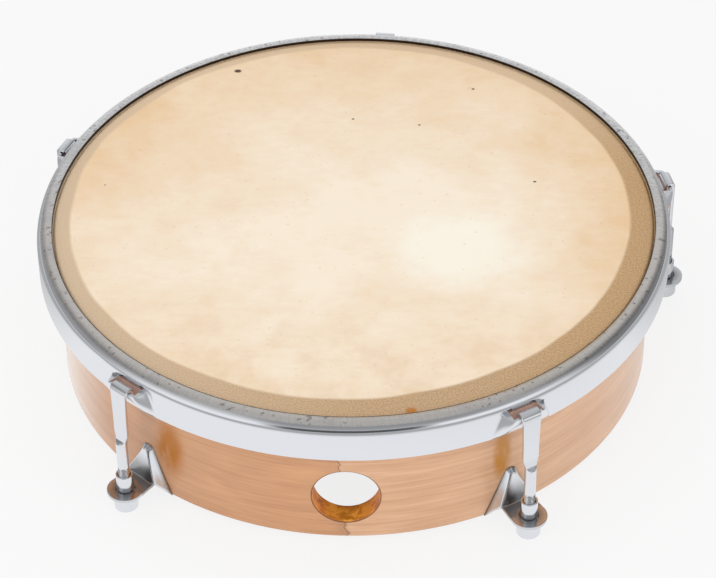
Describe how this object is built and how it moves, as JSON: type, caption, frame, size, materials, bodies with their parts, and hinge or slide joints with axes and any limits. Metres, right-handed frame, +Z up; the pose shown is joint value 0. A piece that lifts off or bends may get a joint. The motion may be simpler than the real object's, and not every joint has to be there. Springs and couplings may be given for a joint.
{
  "type": "tunable hand drum",
  "caption": "Round shallow hand drum: wood shell with a finger hole, natural skin head, slotted steel counter hoop, hooks, sheet brackets and tuning nuts.",
  "frame": {"origin": "centre of the head's playing face", "axes": "+Z up, out of the head's playing face along the drum's axis; the finger hole faces -Y"},
  "size_m": [0.2796, 0.2796, 0.0686],
  "materials": {
    "wood": "satin varnish over light reddish wood",
    "skin": "natural thin skin, satin",
    "wire": "plain wire",
    "hoop_steel": "plated, dull flange and bright skirt",
    "chrome": "bright chrome",
    "zinc": "zinc plated"
  },
  "bodies": {
    "shell_body": {"shell": "wood", "head_skin": "skin", "head_collar": "skin", "bracket_1": "chrome", "bracket_2": "chrome", "bracket_3": "chrome", "bracket_4": "chrome", "bracket_5": "chrome", "bracket_screw_1": "zinc", "bracket_screw_2": "zinc", "bracket_screw_3": "zinc", "bracket_screw_4": "zinc", "bracket_screw_5": "zinc", "washer_1": "zinc", "washer_2": "zinc", "washer_3": "zinc", "washer_4": "zinc", "washer_5": "zinc", "bracket_nut_1": "zinc", "bracket_nut_2": "zinc", "bracket_nut_3": "zinc", "bracket_nut_4": "zinc", "bracket_nut_5": "zinc"},
    "hoop_body": {"counter_hoop": "hoop_steel", "flesh_hoop": "wire", "hook_1": "chrome", "hook_2": "chrome", "hook_3": "chrome", "hook_4": "chrome", "hook_5": "chrome"},
    "nut_body_1": {"tuning_nut_1": "chrome"},
    "nut_body_2": {"tuning_nut_2": "chrome"},
    "nut_body_3": {"tuning_nut_3": "chrome"},
    "nut_body_4": {"tuning_nut_4": "chrome"},
    "nut_body_5": {"tuning_nut_5": "chrome"}
  },
  "joints": [
    {"name": "hoop_draw", "type": "slide", "parent": "shell_body", "child": "hoop_body", "axis": [0, 0, 1], "range_m": [-0.003, 0.001], "deforming": ["head_collar"]},
    {"name": "nut_turn_1", "type": "hinge", "parent": "shell_body", "child": "nut_body_1", "pos_m": [-0.09044, -0.10627, -0.0578], "axis": [0, 0, 1], "range_deg": [-460, 1360]},
    {"name": "nut_turn_2", "type": "hinge", "parent": "shell_body", "child": "nut_body_2", "pos_m": [0.07312, -0.11886, -0.0578], "axis": [0, 0, 1], "range_deg": [-460, 1360]},
    {"name": "nut_turn_3", "type": "hinge", "parent": "shell_body", "child": "nut_body_3", "pos_m": [0.13564, 0.03281, -0.0578], "axis": [0, 0, 1], "range_deg": [-460, 1360]},
    {"name": "nut_turn_4", "type": "hinge", "parent": "shell_body", "child": "nut_body_4", "pos_m": [0.01071, 0.13914, -0.0578], "axis": [0, 0, 1], "range_deg": [-460, 1360]},
    {"name": "nut_turn_5", "type": "hinge", "parent": "shell_body", "child": "nut_body_5", "pos_m": [-0.12902, 0.05318, -0.0578], "axis": [0, 0, 1], "range_deg": [-460, 1360]}
  ],
  "couplings": [
    {"joint": "nut_turn_1", "follows": "hoop_draw", "rad_per_m": -7854},
    {"joint": "nut_turn_2", "follows": "hoop_draw", "rad_per_m": -7854},
    {"joint": "nut_turn_3", "follows": "hoop_draw", "rad_per_m": -7854},
    {"joint": "nut_turn_4", "follows": "hoop_draw", "rad_per_m": -7854},
    {"joint": "nut_turn_5", "follows": "hoop_draw", "rad_per_m": -7854}
  ]
}
